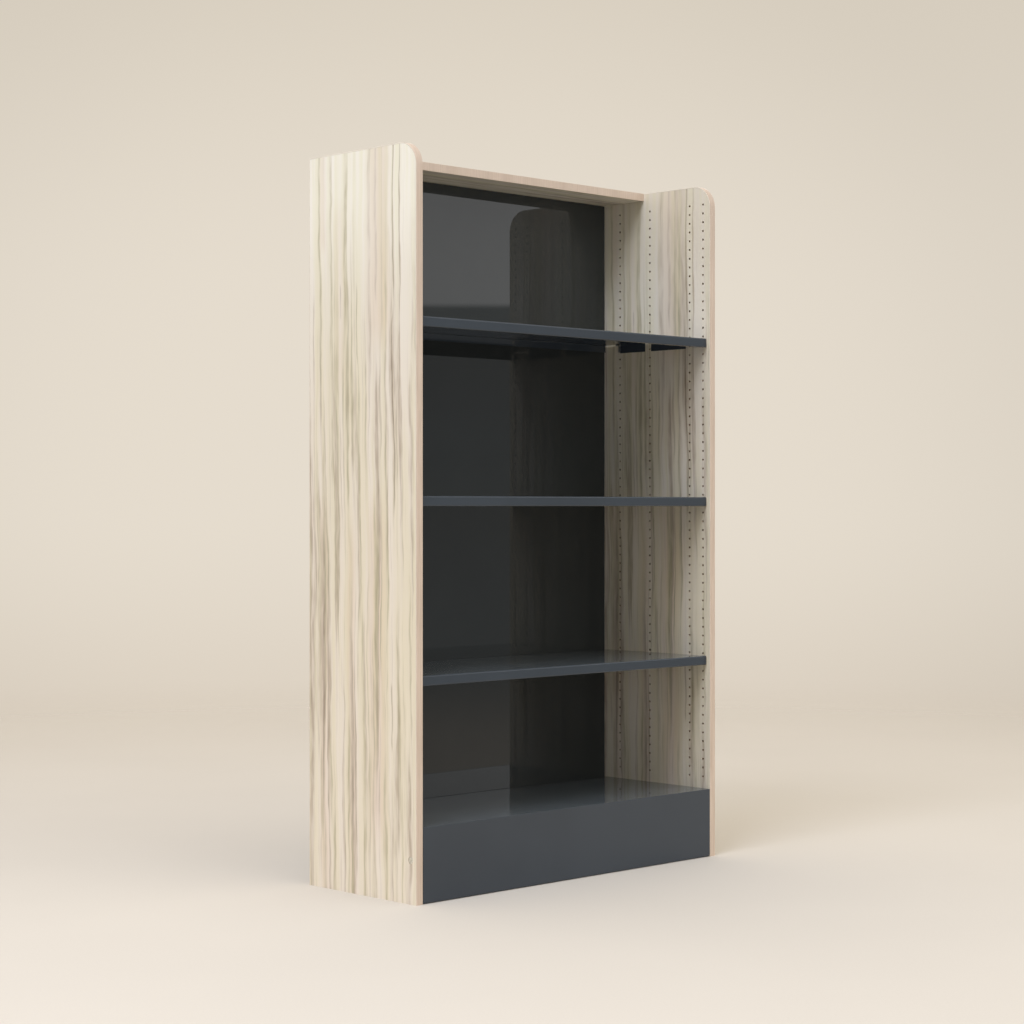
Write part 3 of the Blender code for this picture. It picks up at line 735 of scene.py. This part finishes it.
def screws():
    mesh = screw_mesh()
    height = SCREW_HEAD[1]
    for node in frame["nodes"]:
        if "_screw_" in node:
            lo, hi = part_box(node)
            side = 1 if lo.x > 0 else -1
            bearing = lo.x + height if side > 0 else hi.x - height
            place = (bearing, centre_of(node).y, centre_of(node).z)
            add_piece(f"{node}_piece", mesh.copy(), node, (0, -side * math.pi / 2, 0), place)


def cams():
    """Cam housings, seen from above as discs with a cross recess."""
    long, wide, deep = CAM_CROSS
    for node in frame["nodes"]:
        if node.startswith("top_cam_"):
            lo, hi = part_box(node)
            radius = (hi.x - lo.x) / 2
            depth = hi.z - lo.z
            ease = 0.05 * radius
            profile = [
                (0.0, 0.0), (radius - 3 * ease, 0.0), (radius - 2.6 * ease, -ease),
                (radius - 1.6 * ease, -ease), (radius - ease, 0.0), (radius - 0.3 * ease, -0.3 * ease),
                (radius, -ease), (radius, -depth), (0.0, -depth),
            ]
            mesh = cut(finish_mesh(node, turned(profile, ROUND_SIDES)), cross_tool(long, wide, -deep, deep))
            place = (centre_of(node).x, centre_of(node).y, hi.z)
            add_piece(f"{node}_piece", mesh, node, (0, 0, math.pi / 8), place)


def foot_mesh(height):
    """A glide pad with a rounded rim, a collar and a threaded stem."""
    profile = [(0.0, height), (FOOT_STEM - FOOT_THREAD, height)]
    level = height - FOOT_THREAD
    while level > FOOT_THREAD_END:
        profile += [(FOOT_STEM, level), (FOOT_STEM - FOOT_THREAD, level - FOOT_PITCH / 2)]
        level -= FOOT_PITCH
    collar, low, high = FOOT_COLLAR
    ease = FOOT_COLLAR_EASE
    profile += [(FOOT_STEM, high), (collar - ease, high), (collar, high - ease)]
    profile += [(collar, low), (collar + 2 * ease, low - 1.4 * ease)]
    profile += [(FOOT_PAD - inset, level) for inset, level in FOOT_RIM] + [(0.0, 0.0)]
    return finish_mesh("levelling_foot", turned(profile, ROUND_SIDES))


def feet():
    for node in frame["nodes"]:
        if node.startswith("foot_") and "bracket" not in node:
            lo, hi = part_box(node)
            place = (centre_of(node).x, centre_of(node).y, lo.z)
            add_piece(f"{node}_piece", foot_mesh(hi.z - lo.z), node, (0, 0, 0), place)


def build_pieces():
    for name, side in SIDES.items():
        end_panel(name, side)
        front_band(name)
    kick_bolts()
    screws()
    cams()
    feet()
    for node, shown in frame["nodes"].items():
        if not shown.hide_render:
            softened_copy(node)


# Stage, light and camera

def floor():
    """A pale floor that fades into the surroundings away from the bay."""
    bm = bmesh.new()
    bmesh.ops.create_circle(bm, cap_ends=True, radius=FLOOR_RADIUS, segments=96)
    mesh = finish_mesh("floor", bm)
    material, graph, shader = new_material("pale_floor", Roughness=0.9)
    coords, (x, y, _) = graph.place()
    cloud = graph.noise(coords, 1.3, 3.0)
    speckle = graph.noise(coords, 240.0, 2.0)
    shade = graph.span(cloud, 0.3, 0.7, 0.985, 1.005)
    shade = graph.math("ADD", shade, graph.span(speckle, 0.3, 0.7, -0.01, 0.01))
    graph.feed(shader.inputs["Base Color"], graph.mix(1.0, FLOOR, shade, "MULTIPLY"))
    graph.feed(shader.inputs["Normal"], graph.bump(speckle, 0.05, 0.0003))
    reach = graph.math("SQRT", graph.math("ADD", graph.math("POWER", x, 2.0), graph.math("POWER", y, 2.0)))
    clear = graph.add("ShaderNodeBsdfTransparent").outputs[0]
    inputs = {0: graph.span(reach, *FLOOR_FADE), 1: shader.outputs[0], 2: clear}
    blend = graph.add("ShaderNodeMixShader", inputs)
    graph.feed(material.node_tree.nodes["Material Output"].inputs["Surface"], blend.outputs[0])
    mesh.materials.append(material)
    stage = bpy.data.objects.new("floor", mesh)
    bpy.context.scene.collection.objects.link(stage)


def sines(*degrees):
    return [math.sin(math.radians(value)) for value in degrees]


def surroundings():
    """A lit cream backdrop for the eye, and a dimmer room with a white ceiling for the light."""
    world = bpy.data.worlds.new("surroundings")
    world.use_nodes = True
    bpy.context.scene.world = world
    graph = Graph(world.node_tree)
    direction = graph.add("ShaderNodeTexCoord").outputs["Generated"]
    rise = graph.add("ShaderNodeSeparateXYZ", {0: direction}).outputs[2]
    room = graph.mix(graph.span(rise, *sines(12, 50)), ROOM, CEILING)
    mirrored = graph.mix(
        graph.span(rise, *sines(MIRRORED_EDGE - 0.1, MIRRORED_EDGE + 0.1)), MIRRORED_LOW, MIRRORED_HIGH
    )
    mirrored = graph.mix(graph.span(rise, *sines(*MIRRORED_TOP)), mirrored, MIRRORED_LOW)
    # The backdrop darkens just below the horizon, above 5 degrees and away from the view's axis: painted
    # shade round a painted pool of light.
    backdrop = graph.mix(graph.span(rise, *sines(-7, 0)), BACKDROP_FLOOR_SHADE, BACKDROP)
    backdrop = graph.mix(graph.span(rise, *sines(5, 16)), backdrop, BACKDROP_TOP_SHADE)
    yaw = math.radians(CAMERA_YAW - BACKDROP_TURN)
    axis = {0: direction, 1: (math.sin(yaw), math.cos(yaw), 0.0)}
    ahead = graph.add("ShaderNodeVectorMath", axis, operation="DOT_PRODUCT").outputs["Value"]
    painted_light_pool = graph.span(ahead, 0.955, 0.995, BACKDROP_SIDE_SHADE, 1.0)
    backdrop = graph.mix(1.0, backdrop, painted_light_pool, "MULTIPLY")
    rays = graph.add("ShaderNodeLightPath").outputs
    colour = graph.mix(rays["Is Glossy Ray"], room, mirrored)
    colour = graph.mix(rays["Is Camera Ray"], colour, backdrop)
    graph.feed(world.node_tree.nodes["Background"].inputs["Color"], colour)


def softbox(name, place, target, size, power, colour):
    lamp = bpy.data.lights.new(name, "AREA")
    lamp.shape = "RECTANGLE"
    lamp.size, lamp.size_y = size
    lamp.energy = power
    lamp.color = colour
    light = bpy.data.objects.new(name, lamp)
    light.location = place
    light.rotation_euler = (Vector(target) - Vector(place)).to_track_quat("-Z", "Y").to_euler()
    light.visible_camera = False
    light.visible_glossy = False
    bpy.context.scene.collection.objects.link(light)


def photo_camera():
    lens = bpy.data.cameras.new("photo_camera")
    lens.lens = CAMERA_LENS
    lens.sensor_width = 36.0
    lens.shift_y = CAMERA_SHIFT_Y
    camera = bpy.data.objects.new("photo_camera", lens)
    camera.location = CAMERA_PLACE
    camera.rotation_euler = (math.radians(90), 0.0, math.radians(-CAMERA_YAW))
    bpy.context.scene.collection.objects.link(camera)
    bpy.context.scene.camera = camera


build_pieces()
floor()
surroundings()
for lamp_name, lamp_settings in SOFTBOXES.items():
    softbox(lamp_name, *lamp_settings)
photo_camera()
bpy.context.scene.view_settings.view_transform = "Standard"
